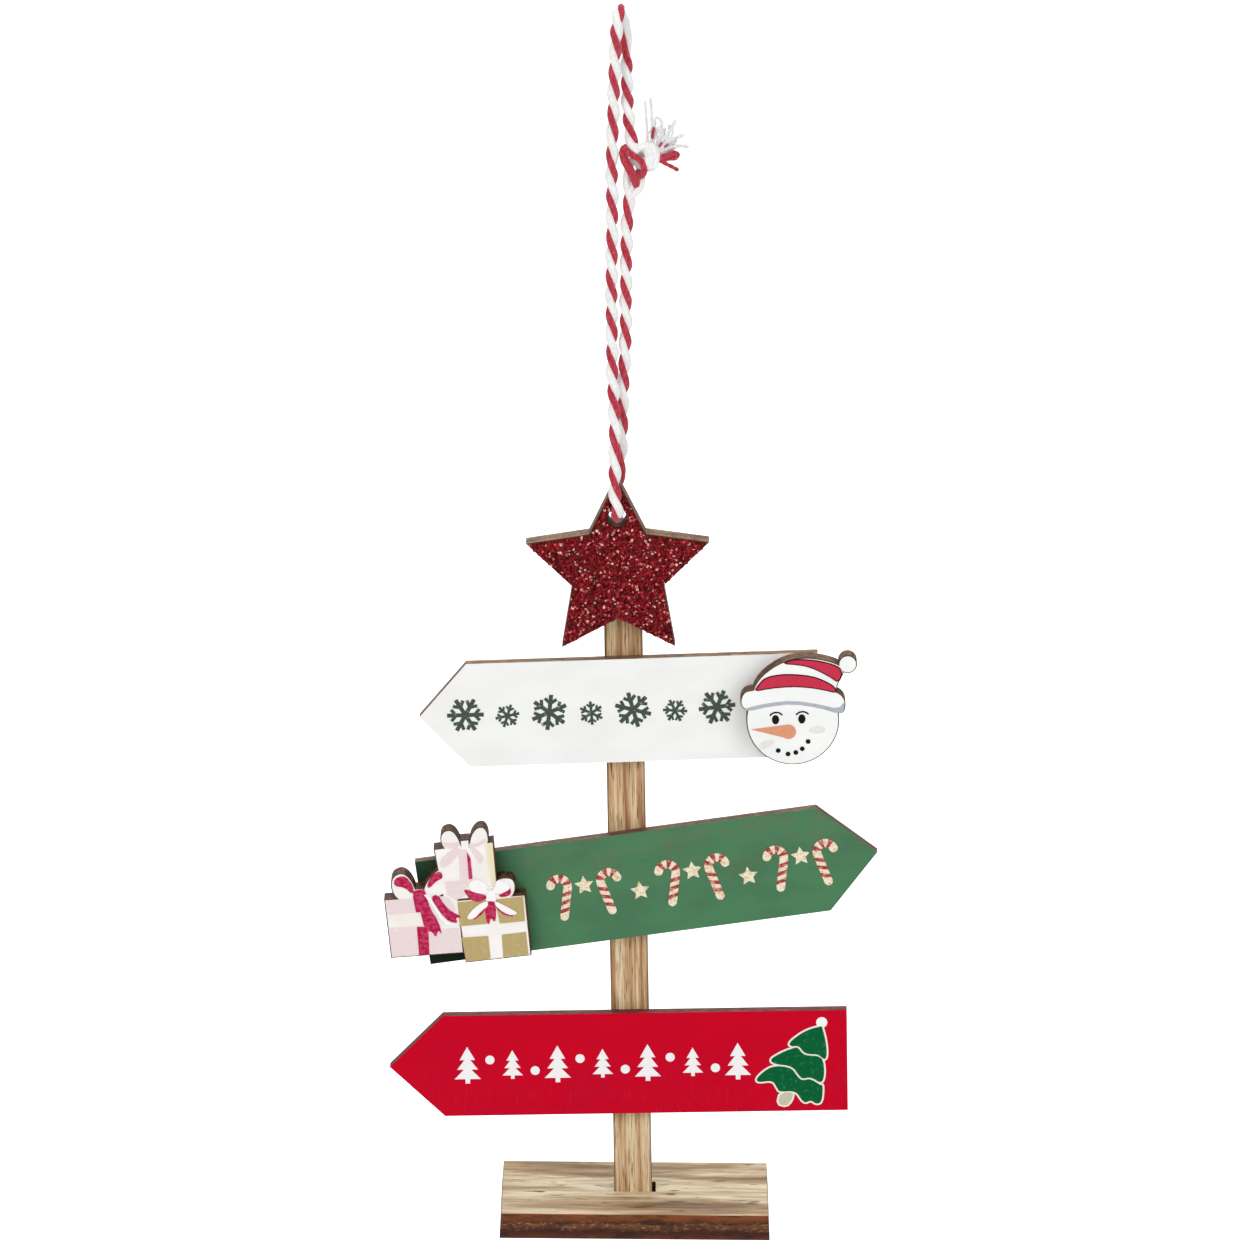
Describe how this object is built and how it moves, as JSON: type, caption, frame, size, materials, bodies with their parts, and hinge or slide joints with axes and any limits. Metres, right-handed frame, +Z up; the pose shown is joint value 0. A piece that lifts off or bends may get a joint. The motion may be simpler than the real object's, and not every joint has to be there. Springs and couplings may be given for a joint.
{
  "type": "christmas signpost ornament",
  "caption": "Hanging Christmas tree ornament: a small wooden signpost on a slotted slab, with a glitter star, painted arrow boards and a loop of striped twine.",
  "frame": {"origin": "hanging point, on the underside of the top of the twine loop, where a hook or twig touches it", "axes": "+Z up along the hanging twine, -Y towards the painted fronts of the boards, +X to the right as the boards are read"},
  "size_m": [0.066, 0.0222, 0.1683],
  "materials": {
    "base_wood": "stained plywood with dark laser-cut edges",
    "post_wood": "streaked paulownia, bare",
    "board_ply": "plywood with brown laser-cut edges",
    "star_ply": "plywood with brown laser-cut edges",
    "glitter_red": "fine red glitter",
    "paint_white": "matt paint",
    "paint_green": "matt paint",
    "paint_red": "satin paint",
    "ink_dark": "printed",
    "ink_cream": "printed with red specks",
    "ink_white": "printed",
    "ink_tree": "printed",
    "ink_outline": "printed",
    "ink_trunk": "printed",
    "ink_maroon": "printed",
    "ink_crimson": "printed",
    "ink_grey_blue": "printed",
    "ink_orange": "printed",
    "ink_black": "printed",
    "ink_blush": "printed",
    "ink_pink": "printed",
    "ink_tan": "printed",
    "ink_ribbon_red": "printed",
    "twine": "twisted red and white cotton"
  },
  "bodies": {
    "root": {"base": "base_wood", "post": "post_wood", "star": "star_ply", "star_glitter": "glitter_red", "white_board": "board_ply", "white_paint": "paint_white", "snowflake_print": "ink_dark", "green_board": "board_ply", "green_paint": "paint_green", "candy_print": "ink_cream", "candy_stripes": "ink_crimson", "red_board": "board_ply", "red_paint": "paint_red", "fir_print": "ink_white", "tree_outline": "ink_outline", "tree_green": "ink_tree", "tree_trunk": "ink_trunk", "snowman": "board_ply", "snowman_paint": "paint_white", "hat_lines": "ink_maroon", "hat_stripes": "ink_crimson", "brim_shadow": "ink_grey_blue", "carrot_nose": "ink_orange", "coal_marks": "ink_black", "cheek_blush": "ink_blush", "gifts": "board_ply", "gifts_paint": "paint_white", "gift_wrap_pink": "ink_pink", "gift_wrap_tan": "ink_tan", "gift_ribbon_red": "ink_ribbon_red", "gift_ribbon_white": "ink_white", "twine_loop": "twine", "twine_knot": "twine"}
  },
  "joints": []
}
